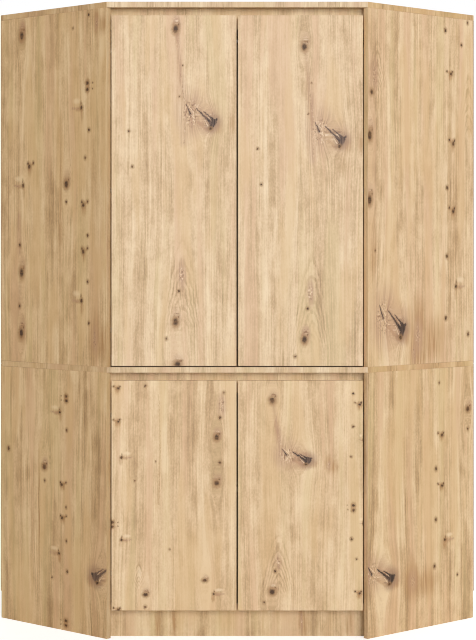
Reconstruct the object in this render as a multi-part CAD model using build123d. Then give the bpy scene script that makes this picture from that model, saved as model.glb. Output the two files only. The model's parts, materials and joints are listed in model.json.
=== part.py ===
from build123d import *
import math
import os

os.makedirs("parts", exist_ok=True)

# Corner wardrobe, in millimetres. Z is up and the floor is z = 0. The front faces -Y, and x = 0 is the
# plane of symmetry. The corner of the room is at the back, and two walls run from it at 45 degrees.
# A plan position is also written as (a, b): a is the distance from the corner along the left wall,
# and b the distance along the right wall. Depths are counted from the boards' front edges backwards.

# ---- overall sizes ----
HEIGHT = 1800
WALL_LENGTH = 1000  # along each wall, from the corner of the room
SIDE_DEPTH = 478  # a side panel with the back panel, square to its wall
BOARD = 16
BACK = 3

# ---- levels ----
PLINTH_HEIGHT = 80
LOWER_HEIGHT = 752  # from the floor to the middle board's underside
RAIL_HEIGHT = 60
SHELF_TOP = 424

# ---- front ----
DOOR_THICK = 16
DOOR_RECESS = 2  # the doors' faces lie this far behind the boards' front edges
MEETING_GAP = 4  # between the two doors of a pair
FINGER_SLOT = 22  # above each pair of doors
UPPER_DOOR_GAP = 3  # below the upper doors
FINGER_ROOM = 16  # between a door and the rail behind it
PLINTH_SETBACK = 44
SHELF_SETBACK = 60
SHELF_PLAY = 1
POST_WIDTH = 80
BACK_SEAM = 1

# ---- joinery ----
FIT = 0.05  # radial play of a fitting in its drilled hole
HOLE_REST = 0.5  # a drilled hole goes this much deeper than its fitting
DOWEL_RADIUS = 4
DOWEL_IN_FACE = 11
DOWEL_IN_EDGE = 19
CAM_RADIUS = 7.5
CAM_DEPTH = 12.5
CAM_REACH = 34  # from the edge of a board to the middle of its cam
BOLT_RADIUS = 3
BOLT_IN_FACE = 11
CAM_BORE_PLAY = 0.4
DRIVER_SLOT = (9, 1.6, 1.5)
NAIL_RADIUS = 0.8
NAIL_LENGTH = 20
NAIL_HEAD = (2.5, 1)
PIN_RADIUS = 2.5
PIN_IN_SIDE = 9
PIN_OUT = 10
DOWEL_INSET = 37  # from the ends of a side panel's depth
CAM_INSET = 80
ROW_SHIFT = 20  # fittings above the middle board stand clear of those below it
BOTTOM_DOWEL_INSET = 150
BOTTOM_CAM_INSET = 80
SHELF_PIN_INSET = 110
FRONT_DOWEL_SPACING = 215
POST_DOWEL_INSET = 20
POST_DOWEL_SHIFT = 14
NAIL_INSET_ALONG = 200
NAIL_INSET_UP = 130
NAIL_STAGGER = 30

# ---- hanging rail ----
TUBE_RADIUS = 12.5
TUBE_WALL = 1.2
TUBE_LENGTH = 840
TUBE_DEPTH = 330
TUBE_DROP = 60  # from the top board down to the tube's middle
CAP_LENGTH = 4
BRACKET_SPACING = 640
BRACKET_PLATE = (50, 34, 3)
BRACKET_RING = 16.5
BRACKET_WIDTH = 12
BRACKET_HOLES = 36
SCREW_RADIUS = 1.75
SCREW_IN_BOARD = 12
SCREW_HEAD = (3.5, 2)

# ---- wall brackets ----
ANGLE_SIZE = 34
ANGLE_WIDTH = 30
ANGLE_THICK = 2
ANGLE_AT = 640  # along the wall from the corner
ANGLE_SCREW = 20
WALL_HOLE_RADIUS = 3
WALL_HOLE_DROP = 22

# ---- concealed hinges ----
HINGE_INSET = 100  # from a door's end to its outer hinges
CUP_RADIUS = 17.5
CUP_MARGIN = 5  # from the door's edge to the cup
CUP_DEPTH = 12
CUP_WALL = 0.8
CUP_FLANGE = 1.2
CUP_EAR = 6
CUP_SCREW_SPACING = 45
CUP_SCREW_OFFSET = 9.5
PIVOT_INSET = 14  # from the door's edge to the hinge pin
HINGE_PIN_RADIUS = 1.2
HINGE_PIN_PLAY = 0.05
EYE_WALL = 1.1
EYE_PLAY = 0.2  # between the arm's eye and the bottom of the cup
SWING_CLEARANCE = 0.85  # between the door's front corner and the side panel, as it swings past
ARM_THICK = 3
ARM_WIDTH = 14
ARM_LEAN = 10  # degrees from the door's plane, where the arm leaves the pin
ARM_REACH = 19.5
ARM_HOOK = 21.3
ARM_END = 56
PLATE_FROM = 14  # from the side panel's inner corner, along its face
PLATE_RISE = 8
PLATE_LENGTH = 46
PLATE_WIDTH = 18
WING_THICK = 2
WING_LENGTH = 24
WING_WIDTH = 52
PLATE_SCREW_SPACING = 36
PLATE_SCREW_RADIUS = 2.6
PLATE_SCREW_LENGTH = 12
PLATE_SCREW_HEAD = (4, 1.8)
ARM_SCREWS = (30, 46)
ARM_SCREW_RADIUS = 2
ARM_SCREW_HEAD = (3.6, 1.6)

# ---- worked out ----
ROOT2 = math.sqrt(2)
CORNER_Y = (WALL_LENGTH + SIDE_DEPTH) / ROOT2 / 2
FRONT_Y = -CORNER_Y
TOP_UNDER = HEIGHT - BOARD
UPPER_FLOOR = LOWER_HEIGHT + BOARD
INNER_FACE = WALL_LENGTH - BOARD  # a of the left side panel's inner face
CORNER_DEPTH = BOARD / ROOT2  # depth of a side panel's inner front corner
CORNER_X = (WALL_LENGTH - SIDE_DEPTH) / ROOT2 - CORNER_DEPTH
DOOR_BACK = DOOR_RECESS + DOOR_THICK
RAIL_SETBACK = DOOR_BACK + FINGER_ROOM
SHELF_UNDER = SHELF_TOP - BOARD
TUBE_Z = TOP_UNDER - TUBE_DROP

# The hinge pin, as depth behind the door's face. The door's front corner swings round the pin on
# SWEEP, and the gap beside the door lets it pass the side panel's corner.
EYE_RADIUS = HINGE_PIN_RADIUS + EYE_WALL
PIVOT_DEPTH = DOOR_THICK - CUP_DEPTH + CUP_WALL + EYE_PLAY + EYE_RADIUS
SWEEP = math.hypot(PIVOT_INSET, PIVOT_DEPTH) + SWING_CLEARANCE
CORNER_FROM_FACE = CORNER_DEPTH - DOOR_RECESS
SIDE_GAP = math.sqrt(SWEEP**2 - (CORNER_FROM_FACE - PIVOT_DEPTH) ** 2) - PIVOT_INSET
DOOR_OUTER_X = CORNER_X - SIDE_GAP
DOOR_WIDTH = DOOR_OUTER_X - MEETING_GAP / 2
BACK_SWEEP = math.hypot(PIVOT_INSET, DOOR_THICK - PIVOT_DEPTH)  # radius of the door's rear corner
BOTTOM_SETBACK = DOOR_RECESS + PIVOT_DEPTH + BACK_SWEEP + SWING_CLEARANCE

UP = Vector(0, 0, 1)
ALONG_LEFT = Vector(-1, -1, 0) / ROOT2  # the way a grows
ALONG_RIGHT = Vector(1, -1, 0) / ROOT2  # the way b grows

holes = []  # every drilled hole, taken out of each board that it reaches


def plan(a, b, z=0.0):
    """The point at a along the left wall and b along the right wall."""
    return Vector((b - a) / ROOT2, CORNER_Y - (a + b) / ROOT2, z)


def prism(outline, low, high):
    """Solid with a plan outline, between two heights."""
    corners = [Vector(p[0], p[1], low) if isinstance(p, tuple) else Vector(p.X, p.Y, low) for p in outline]
    return Solid.extrude(Face(Wire.make_polygon(corners)), Vector(0, 0, high - low))


def block(size, middle, x_dir=(1, 0, 0)):
    """Box of a size round its middle, turned about Z so that its length lies along x_dir."""
    place = Plane(origin=middle, x_dir=x_dir, z_dir=(0, 0, 1))
    return (place * Box(*size)).solid()


def bar(start, end, radius):
    """Round bar between two points."""
    span = end - start
    return Solid.make_cylinder(radius, span.length, Plane(origin=start, z_dir=span))


def fitted(start, end, radius, play=FIT):
    """Round fitting between two points. The hole for it goes on the drilling list."""
    rest = (end - start).normalized() * HOLE_REST
    holes.append(bar(start - rest, end + rest, radius + play))
    return bar(start, end, radius)


def reaches(shape, other):
    """Whether two boxes round shapes meet."""
    one, two = shape.bounding_box(), other.bounding_box()
    return all(
        getattr(one.min, way) < getattr(two.max, way) and getattr(two.min, way) < getattr(one.max, way)
        for way in "XYZ"
    )


def drilled(shape):
    """The solids of a shape without the holes that reach it."""
    return shape.cut(*[hole for hole in holes if reaches(shape, hole)]).solids()


def both(solids):
    """Solids of the left half with their mirror images."""
    return list(solids) + [mirror(s, about=Plane.YZ) for s in solids]


def save(name, solids):
    """One STEP file for a node."""
    solids = [s for shape in solids for s in shape.solids()]
    export_step(solids[0] if len(solids) == 1 else Compound(children=solids), f"parts/{name}.step")


# ---- boards ----
def pentagon(limit, wall, depth, low, high):
    """Board with five sides: wall from each wall, limit along each wall, and a front edge at a depth."""
    reach = WALL_LENGTH + SIDE_DEPTH - depth * ROOT2 - limit
    left = [plan(limit, wall), plan(limit, reach)]
    right = [plan(reach, limit), plan(wall, limit)]
    return prism([plan(wall, wall), *left, *right], low, high)


def wall_board(a_from, a_to, b_from, b_to, low, high):
    """Upright board that is square to the walls."""
    ends_at = [plan(a_from, b_from), plan(a_to, b_from), plan(a_to, b_to), plan(a_from, b_to)]
    return prism(ends_at, low, high)


def cross_board(depth, low, high):
    """Upright board along the front, mitred to meet both side panels."""
    near = CORNER_X + depth - CORNER_DEPTH
    front, back = FRONT_Y + depth, FRONT_Y + depth + BOARD
    return prism([(-near, front), (near, front), (near + BOARD, back), (-near - BOARD, back)], low, high)


def post(low, high, play=0):
    """Upright in the rear corner, which both back panels are nailed to."""
    nearest = BACK - play
    return wall_board(nearest, BACK + BOARD + play, nearest, BACK + POST_WIDTH + play, low, high)


def side(low, high):
    """Left side panel."""
    return wall_board(INNER_FACE, WALL_LENGTH, BACK, SIDE_DEPTH, low, high)


post_room = post(0, LOWER_HEIGHT)
shelf_room = post(0, LOWER_HEIGHT, SHELF_PLAY)
inner_shelf = INNER_FACE - SHELF_PLAY
lower_back = (PLINTH_HEIGHT, LOWER_HEIGHT + (BOARD - BACK_SEAM) / 2)
upper_back = (LOWER_HEIGHT + (BOARD + BACK_SEAM) / 2, TOP_UNDER)
boards = {
    "plinth_board": cross_board(PLINTH_SETBACK, 0, PLINTH_HEIGHT),
    "bottom_board": pentagon(
        INNER_FACE, BACK, BOTTOM_SETBACK, PLINTH_HEIGHT, PLINTH_HEIGHT + BOARD
    ).cut(post_room),
    "lower_left_side": side(0, LOWER_HEIGHT),
    "lower_right_side": mirror(side(0, LOWER_HEIGHT), about=Plane.YZ),
    "middle_board": pentagon(WALL_LENGTH, BACK, 0, LOWER_HEIGHT, UPPER_FLOOR),
    "upper_left_side": side(UPPER_FLOOR, TOP_UNDER),
    "upper_right_side": mirror(side(UPPER_FLOOR, TOP_UNDER), about=Plane.YZ),
    "top_board": pentagon(WALL_LENGTH, 0, 0, TOP_UNDER, HEIGHT),
    "lower_rail": cross_board(RAIL_SETBACK, LOWER_HEIGHT - RAIL_HEIGHT, LOWER_HEIGHT),
    "upper_rail": cross_board(RAIL_SETBACK, TOP_UNDER - RAIL_HEIGHT, TOP_UNDER),
    "lower_corner_post": post_room,
    "upper_corner_post": post(UPPER_FLOOR, TOP_UNDER),
    "lower_left_back": wall_board(0, WALL_LENGTH, 0, BACK, *lower_back),
    "lower_right_back": wall_board(0, BACK, BACK, WALL_LENGTH, *lower_back),
    "upper_left_back": wall_board(0, WALL_LENGTH, 0, BACK, *upper_back),
    "upper_right_back": wall_board(0, BACK, BACK, WALL_LENGTH, *upper_back),
    "lower_shelf": pentagon(
        inner_shelf, BACK + SHELF_PLAY, SHELF_SETBACK, SHELF_UNDER, SHELF_TOP
    ).cut(shelf_room),
}

# ---- dowels, cam locks and their bolts ----
dowels, cam_locks, cam_bolts = [], [], []


def dowel(point, into_edge):
    """Dowel across a joint, where the edge of one board meets the face of another."""
    start, end = point - into_edge * DOWEL_IN_FACE, point + into_edge * DOWEL_IN_EDGE
    dowels.append(fitted(start, end, DOWEL_RADIUS))


def cam_joint(point, into_edge, outwards):
    """Bolt across a joint and the cam that draws it in. The cam is sunk in the face that looks outwards."""
    middle = point + into_edge * CAM_REACH
    bolt_end = middle - into_edge * BOLT_RADIUS
    face = middle + outwards * BOARD / 2
    bore_radius = BOLT_RADIUS + CAM_BORE_PLAY
    cam = fitted(face - outwards * CAM_DEPTH, face, CAM_RADIUS)
    slot = Plane(origin=face, x_dir=into_edge, z_dir=outwards) * Box(*DRIVER_SLOT)
    bore = bar(point, middle, bore_radius)
    holes.append(bore)
    cam_locks.append(cam.cut(bore, slot.solid()).solid())
    cam_bolts.append(fitted(point - into_edge * BOLT_IN_FACE, bolt_end, BOLT_RADIUS))


def flipped(v):
    """Mirror image of a vector."""
    return Vector(-v.X, v.Y, v.Z)


def ends(inset):
    """Two places along a side panel's depth, each this far from an end."""
    return BACK + inset, SIDE_DEPTH - inset


side_middle = WALL_LENGTH - BOARD / 2
bottom_middle = PLINTH_HEIGHT + BOARD / 2
left_dowels = [(plan(INNER_FACE, b, bottom_middle), -ALONG_LEFT) for b in ends(BOTTOM_DOWEL_INSET)]
left_cams = [(plan(INNER_FACE, b, bottom_middle), -ALONG_LEFT, -UP) for b in ends(BOTTOM_CAM_INSET)]
levels = ((LOWER_HEIGHT, -UP, 0), (UPPER_FLOOR, UP, 1), (TOP_UNDER, -UP, 0))
for level, into, shifted in levels:
    shift = ROW_SHIFT * shifted
    left_dowels += [(plan(side_middle, b, level), into) for b in ends(DOWEL_INSET + shift)]
    left_cams += [(plan(side_middle, b, level), into, -ALONG_LEFT) for b in ends(CAM_INSET + shift)]
for point, into in left_dowels:
    dowel(point, into)
    dowel(flipped(point), flipped(into))
for point, into, outwards in left_cams:
    cam_joint(point, into, outwards)
    cam_joint(flipped(point), flipped(into), flipped(outwards))
for x in (-FRONT_DOWEL_SPACING, 0, FRONT_DOWEL_SPACING):
    dowel(Vector(x, FRONT_Y + PLINTH_SETBACK + BOARD / 2, PLINTH_HEIGHT), -UP)
    dowel(Vector(x, FRONT_Y + RAIL_SETBACK + BOARD / 2, LOWER_HEIGHT), -UP)
    dowel(Vector(x, FRONT_Y + RAIL_SETBACK + BOARD / 2, TOP_UNDER), -UP)
for level, into, shifted in levels:
    inset = POST_DOWEL_INSET + POST_DOWEL_SHIFT * shifted
    for b in (BACK + inset, BACK + POST_WIDTH - inset):
        dowel(plan(BACK + BOARD / 2, b, level), into)

# ---- nails through the back panels ----
back_nails = []


def nail(along, z, left):
    """Nail through the left or right back panel, at a distance along its wall."""
    inwards = ALONG_RIGHT if left else ALONG_LEFT
    start = plan(along, 0, z) if left else plan(0, along, z)
    head = bar(start, start + inwards * NAIL_HEAD[1], NAIL_HEAD[0])
    shank = bar(start, start + inwards * NAIL_LENGTH, NAIL_RADIUS)
    holes.append(bar(start - inwards, start + inwards * NAIL_HEAD[1], NAIL_HEAD[0] + FIT))
    holes.append(bar(start, start + inwards * (NAIL_LENGTH + HOLE_REST), NAIL_RADIUS + FIT))
    back_nails.append(head.fuse(shank).solid())


def three(low, high, inset):
    """Places near both ends and in the middle."""
    return low + inset, (low + high) / 2, high - inset


for left in (True, False):
    for along in three(0, WALL_LENGTH, NAIL_INSET_ALONG):
        nail(along, bottom_middle, left)
        nail(along + NAIL_STAGGER, LOWER_HEIGHT + BOARD / 4, left)
        nail(along, UPPER_FLOOR - BOARD / 4, left)
    post_along = BACK + BOARD / 2 if left else BACK + POST_WIDTH - BOARD
    for low, high in ((PLINTH_HEIGHT + BOARD, LOWER_HEIGHT), (UPPER_FLOOR, TOP_UNDER)):
        for z in three(low, high, NAIL_INSET_UP):
            nail(side_middle, z, left)
            nail(post_along, z + NAIL_STAGGER, left)

# ---- shelf pins ----
pin_z = SHELF_UNDER - PIN_RADIUS


def shelf_pin(face_point, outwards):
    """Pin that stands out of a face."""
    return fitted(face_point - outwards * PIN_IN_SIDE, face_point + outwards * PIN_OUT, PIN_RADIUS)


shelf_pins = []
for b in ends(SHELF_PIN_INSET):
    spot = plan(INNER_FACE, b, pin_z)
    shelf_pins.append(shelf_pin(spot, -ALONG_LEFT))
    shelf_pins.append(shelf_pin(flipped(spot), flipped(-ALONG_LEFT)))
shelf_pins.append(shelf_pin(plan(BACK + BOARD, BACK + POST_WIDTH / 2, pin_z), ALONG_LEFT))
shelf_pins.append(shelf_pin(plan(BACK + BOARD / 2, BACK + POST_WIDTH, pin_z), ALONG_RIGHT))


# ---- hanging rail ----
def board_screw(start, under_head):
    """Screw up into the top board, with its head under a plate of a thickness."""
    seat = start - UP * under_head
    head = bar(seat - UP * SCREW_HEAD[1], seat, SCREW_HEAD[0])
    shank = bar(seat, start + UP * SCREW_IN_BOARD, SCREW_RADIUS)
    holes.append(bar(seat, start + UP * (SCREW_IN_BOARD + HOLE_REST), SCREW_RADIUS + FIT))
    return head.fuse(shank).solid()


tube_y = FRONT_Y + TUBE_DEPTH
tube_from, tube_to = (Vector(s * TUBE_LENGTH / 2, tube_y, TUBE_Z) for s in (-1, 1))
tube = bar(tube_from, tube_to, TUBE_RADIUS).cut(bar(tube_from, tube_to, TUBE_RADIUS - TUBE_WALL)).solid()
cap_step = Vector(CAP_LENGTH, 0, 0)
cap_plug = bar(tube_from, tube_from + cap_step * 2, TUBE_RADIUS - TUBE_WALL - FIT)
cap = bar(tube_from - cap_step, tube_from, TUBE_RADIUS).fuse(cap_plug).solid()
bracket_top = Vector(-BRACKET_SPACING / 2, tube_y, TOP_UNDER)
plate_thick = BRACKET_PLATE[2]
half_width = Vector(BRACKET_WIDTH / 2, 0, 0)
ring_middle = bracket_top - UP * TUBE_DROP
stem = block((BRACKET_WIDTH, 2 * TUBE_RADIUS, TUBE_DROP), bracket_top - UP * TUBE_DROP / 2)
bracket = (
    block(BRACKET_PLATE, bracket_top - UP * plate_thick / 2)
    .fuse(stem, bar(ring_middle - half_width, ring_middle + half_width, BRACKET_RING))
    .cut(bar(ring_middle - half_width * 2, ring_middle + half_width * 2, TUBE_RADIUS + FIT))
)
bracket_screws = []
for top in (bracket_top, flipped(bracket_top)):
    for shift in (-BRACKET_HOLES / 2, BRACKET_HOLES / 2):
        bracket_screws.append(board_screw(top + Vector(shift, 0, 0), plate_thick))

# ---- brackets that hold the wardrobe to the walls ----
angle_top = plan(ANGLE_AT, BACK, TOP_UNDER)
flat_middle = angle_top + ALONG_RIGHT * ANGLE_SIZE / 2 - UP * ANGLE_THICK / 2
upright_middle = angle_top + ALONG_RIGHT * ANGLE_THICK / 2 - UP * ANGLE_SIZE / 2
flat = block((ANGLE_WIDTH, ANGLE_SIZE, ANGLE_THICK), flat_middle, ALONG_LEFT)
upright = block((ANGLE_WIDTH, ANGLE_THICK, ANGLE_SIZE), upright_middle, ALONG_LEFT)
hole_middle = angle_top - UP * WALL_HOLE_DROP
wall_hole = bar(
    hole_middle - ALONG_RIGHT * 2 * BACK, hole_middle + ALONG_RIGHT * 2 * ANGLE_THICK, WALL_HOLE_RADIUS
)
screw_spot = angle_top + ALONG_RIGHT * ANGLE_SCREW
wall_bracket_screws = [board_screw(spot, ANGLE_THICK) for spot in (screw_spot, flipped(screw_spot))]
wall_bracket = flat.fuse(upright).cut(wall_hole)
holes.extend(both([wall_hole]))


# ---- concealed hinges ----
# One left hinge at z = 0: x grows from the door's edge, y is the depth behind the door's face.
def strip(points, half):
    """Outline of a band of constant thickness along a bent line."""
    left, right = [], []
    for i, p in enumerate(points):
        ways = [
            (points[j + 1] - points[j]).normalized() for j in (i - 1, i) if 0 <= j < len(points) - 1
        ]
        way = sum(ways[1:], ways[0]).normalized()
        square = Vector(-way.Y, way.X, 0) * half / way.dot(ways[0])
        left.append(p + square)
        right.append(p - square)
    return left + right[::-1]


pivot = Vector(PIVOT_INSET, PIVOT_DEPTH, 0)
corner = Vector(-SIDE_GAP, CORNER_FROM_FACE, 0)  # the side panel's inner front corner
along_face, off_face = -ALONG_RIGHT, -ALONG_LEFT  # along the side panel's inner face, and away from it


def on_face(along, off, z=0.0):
    """Point at a distance along the side panel's inner face and another away from it."""
    return corner + along_face * along + off_face * off + UP * z


lean = math.radians(ARM_LEAN)
arm_line = PLATE_RISE + ARM_THICK / 2
knee = pivot + Vector(ARM_REACH, ARM_REACH * math.tan(lean), 0)
hook = pivot + Vector(ARM_REACH, ARM_HOOK, 0)
bend_along = (hook.Y - corner.Y) * ROOT2 - arm_line
arm_points = [pivot, knee, hook, on_face(bend_along, arm_line), on_face(ARM_END, arm_line)]
arm_low, arm_high = UP * -ARM_WIDTH / 2, UP * ARM_WIDTH / 2
eye = bar(pivot + arm_low, pivot + arm_high, EYE_RADIUS)
eye_bore = bar(pivot + arm_low * 2, pivot + arm_high * 2, HINGE_PIN_RADIUS + HINGE_PIN_PLAY)
arm = prism(strip(arm_points, ARM_THICK / 2), -ARM_WIDTH / 2, ARM_WIDTH / 2).fuse(eye).cut(eye_bore)

plate_middle = PLATE_FROM + PLATE_LENGTH / 2
spine = block((PLATE_LENGTH, PLATE_RISE, PLATE_WIDTH), on_face(plate_middle, PLATE_RISE / 2), along_face)
wings = block((WING_LENGTH, WING_THICK, WING_WIDTH), on_face(plate_middle, WING_THICK / 2), along_face)
plate = spine.fuse(wings)
plate_screws, arm_screws, plate_holes, arm_holes = [], [], [], []
for z in (-PLATE_SCREW_SPACING / 2, PLATE_SCREW_SPACING / 2):
    seat = on_face(plate_middle, WING_THICK, z)
    shank_end = on_face(plate_middle, -PLATE_SCREW_LENGTH, z)
    head = bar(seat, seat + off_face * PLATE_SCREW_HEAD[1], PLATE_SCREW_HEAD[0])
    plate_screws.append(bar(shank_end, seat, PLATE_SCREW_RADIUS).fuse(head).solid())
    plate_holes.append(bar(shank_end - off_face * HOLE_REST, seat, PLATE_SCREW_RADIUS + FIT))
for along in ARM_SCREWS:
    seat = on_face(along, PLATE_RISE + ARM_THICK)
    shank_end = on_face(along, PLATE_RISE / 2)
    head = bar(seat, seat + off_face * ARM_SCREW_HEAD[1], ARM_SCREW_HEAD[0])
    arm_screws.append(bar(shank_end, seat, ARM_SCREW_RADIUS).fuse(head).solid())
    arm_holes.append(bar(shank_end - off_face * HOLE_REST, seat, ARM_SCREW_RADIUS + FIT))
arm = arm.cut(*arm_holes).solid()
plate = plate.cut(*arm_holes, *plate_holes).solid()

cup_middle = CUP_MARGIN + CUP_RADIUS
cup_floor = DOOR_THICK - CUP_DEPTH


def across(x, z, y_from, y_to, radius):
    """Round bar square to the door's face."""
    return bar(Vector(x, y_from, z), Vector(x, y_to, z), radius)


flange_top = DOOR_THICK + CUP_FLANGE
ear_x = cup_middle + CUP_SCREW_OFFSET
ears = [(ear_x, CUP_SCREW_SPACING / 2), (ear_x, -CUP_SCREW_SPACING / 2)]
ear_middle = Vector(ear_x, flange_top - CUP_FLANGE / 2, 0)
ear_bridge = block((2 * CUP_EAR, CUP_FLANGE, CUP_SCREW_SPACING), ear_middle)
cup = across(cup_middle, 0, cup_floor, flange_top, CUP_RADIUS).fuse(
    across(cup_middle, 0, DOOR_THICK, flange_top, CUP_RADIUS + CUP_FLANGE),
    *[across(x, z, DOOR_THICK, flange_top, CUP_EAR) for x, z in ears],
    ear_bridge,
)
cavity = across(cup_middle, 0, cup_floor + CUP_WALL, flange_top + 1, CUP_RADIUS - CUP_WALL)
pin_half = math.sqrt((CUP_RADIUS - FIT) ** 2 - (cup_middle - PIVOT_INSET + HINGE_PIN_RADIUS) ** 2)
cup_pin = bar(pivot - UP * pin_half, pivot + UP * pin_half, HINGE_PIN_RADIUS)
pin_holes = bar(pivot - UP * (pin_half + FIT), pivot + UP * (pin_half + FIT), HINGE_PIN_RADIUS + FIT / 2)
cup_screws, cup_holes = [], []
for x, z in ears:
    shank = across(x, z, DOOR_THICK - SCREW_IN_BOARD, flange_top, SCREW_RADIUS)
    head = across(x, z, flange_top, flange_top + SCREW_HEAD[1], SCREW_HEAD[0])
    cup_screws.append(shank.fuse(head).solid())
    cup_holes.append(across(x, z, DOOR_THICK - SCREW_IN_BOARD - HOLE_REST, flange_top, SCREW_RADIUS + FIT))
cup = cup.cut(cavity, pin_holes, *cup_holes).solid()
cup_seat = across(cup_middle, 0, cup_floor - FIT, DOOR_THICK + 1, CUP_RADIUS + FIT)

# ---- doors, with their cups, and the plates and arms on the side panels ----
hinge_origin = Vector(-DOOR_OUTER_X, FRONT_Y + DOOR_RECESS, 0)
door_rows = {
    "lower": (PLINTH_HEIGHT, LOWER_HEIGHT - FINGER_SLOT, 2),
    "upper": (UPPER_FLOOR + UPPER_DOOR_GAP, TOP_UNDER - FINGER_SLOT, 3),
}
arms, plates, all_plate_screws, all_arm_screws = [], [], [], []
for row, (low, high, count) in door_rows.items():
    step = (high - low - 2 * HINGE_INSET) / (count - 1)
    places = [hinge_origin + UP * (low + HINGE_INSET + step * i) for i in range(count)]

    def placed(solids):
        """Copies of one hinge's solids at each hinge of this row's left door."""
        return [s.moved(Location(place)) for place in places for s in solids]

    middle = hinge_origin + Vector(DOOR_WIDTH / 2, DOOR_THICK / 2, (low + high) / 2)
    door = block((DOOR_WIDTH, DOOR_THICK, high - low), middle).cut(*placed([cup_seat, *cup_holes])).solid()
    pieces = {
        "door": [door],
        "hinge_cups": placed([cup]),
        "hinge_pins": placed([cup_pin]),
        "cup_screws": placed(cup_screws),
    }
    for name, solids in pieces.items():
        save(f"{row}_left_{name}", solids)
        save(f"{row}_right_{name}", [mirror(s, about=Plane.YZ) for s in solids])
    arms += both(placed([arm]))
    plates += both(placed([plate]))
    all_plate_screws += both(placed(plate_screws))
    all_arm_screws += both(placed(arm_screws))
    holes.extend(both(placed(plate_holes)))

# ---- files ----
for name, board in boards.items():
    save(name, drilled(board.solid()))
save("dowels", dowels)
save("cam_locks", cam_locks)
save("cam_bolts", cam_bolts)
save("back_nails", back_nails)
save("shelf_pins", shelf_pins)
save("hanging_rail", [tube])
save("hanging_rail_caps", both([cap]))
save("rail_brackets", both(drilled(bracket)))
save("rail_bracket_screws", bracket_screws)
save("wall_brackets", both(drilled(wall_bracket)))
save("wall_bracket_screws", wall_bracket_screws)
save("hinge_arms", arms)
save("hinge_plates", plates)
save("hinge_plate_screws", all_plate_screws)
save("hinge_arm_screws", all_arm_screws)
print(f"pivot x {DOOR_OUTER_X - PIVOT_INSET:.3f} y {FRONT_Y + DOOR_RECESS + PIVOT_DEPTH:.3f}")
print(f"side gap {SIDE_GAP:.3f} door width {DOOR_WIDTH:.3f}")
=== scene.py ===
"""Looks of the corner wardrobe, built round its CAD frame. Metres, Z up, the front faces -Y.

The boards have a printed knotty oak decor, whose marks are laid out in millimetres in the board's own plane:
x across the grain and z along it. The back panels are raw hardboard on the outside. The dowels are beech, the
hanging rail's caps plastic, and the other fittings plated metal.
"""
import json
import math
import bpy
import bmesh
import numpy as np
from mathutils import Euler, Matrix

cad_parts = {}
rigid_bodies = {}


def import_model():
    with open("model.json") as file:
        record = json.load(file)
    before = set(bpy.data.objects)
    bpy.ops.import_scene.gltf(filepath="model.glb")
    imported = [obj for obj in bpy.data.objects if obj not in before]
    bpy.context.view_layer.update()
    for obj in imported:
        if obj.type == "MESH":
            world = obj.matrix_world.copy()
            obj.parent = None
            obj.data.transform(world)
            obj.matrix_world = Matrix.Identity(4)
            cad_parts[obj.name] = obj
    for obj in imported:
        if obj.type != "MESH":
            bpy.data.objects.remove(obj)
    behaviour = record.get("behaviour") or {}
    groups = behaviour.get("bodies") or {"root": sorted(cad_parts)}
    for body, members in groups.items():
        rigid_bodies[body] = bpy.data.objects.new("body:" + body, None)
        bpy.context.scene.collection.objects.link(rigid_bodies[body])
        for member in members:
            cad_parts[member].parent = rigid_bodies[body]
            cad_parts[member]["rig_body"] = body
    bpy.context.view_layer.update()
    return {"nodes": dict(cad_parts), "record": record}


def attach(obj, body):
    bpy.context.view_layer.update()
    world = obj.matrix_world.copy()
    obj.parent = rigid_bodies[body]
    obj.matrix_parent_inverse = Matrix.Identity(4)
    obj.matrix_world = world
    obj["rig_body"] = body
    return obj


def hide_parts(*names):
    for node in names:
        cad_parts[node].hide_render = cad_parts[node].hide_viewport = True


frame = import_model()

MM = 0.001
DIAGONAL = math.pi / 4  # the angle from the front to the side panels and to the backs
WHITE = (1, 1, 1, 1)

# ---- camera and light ----
FOCAL_MM = 114.47
SENSOR_MM = 36  # the sensor's height
CAMERA_AT = (0.0023, -6.2696, 1.1038)
VIEW_DROP = 0.1122  # share of the view's height that its middle lies below the horizon
VIEW_REACH = 100  # metres from the camera to what it can still see
PIXEL_FILTER = 1.0  # pixels that a sample is spread over
# each sun: degrees to the right of the front, degrees above the floor, strength, width in degrees
SUNS = {"key": (15, 14, 2.2, 40), "fill": (165, 38, 0.8, 60)}
AMBIENT = 0.272
AMBIENT_COLOUR = (1.0, 0.965, 0.89, 1.0)
MIRRORED = 0.8  # strength of the white background in metal and glass
FLOOR_HALF = 30.0
FLOOR_COLOUR = (0.86, 0.86, 0.86, 1)
FLOOR_GLOW = 0.6  # to the camera alone, so that the floor is white outside the shadow


def srgb(red, green, blue):
    """Colour from screen values of 0 to 255, as the linear values that materials hold."""
    parts = [v / 255 for v in (red, green, blue)]
    return (*(p / 12.92 if p <= 0.04045 else ((p + 0.055) / 1.055) ** 2.4 for p in parts), 1.0)


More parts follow.
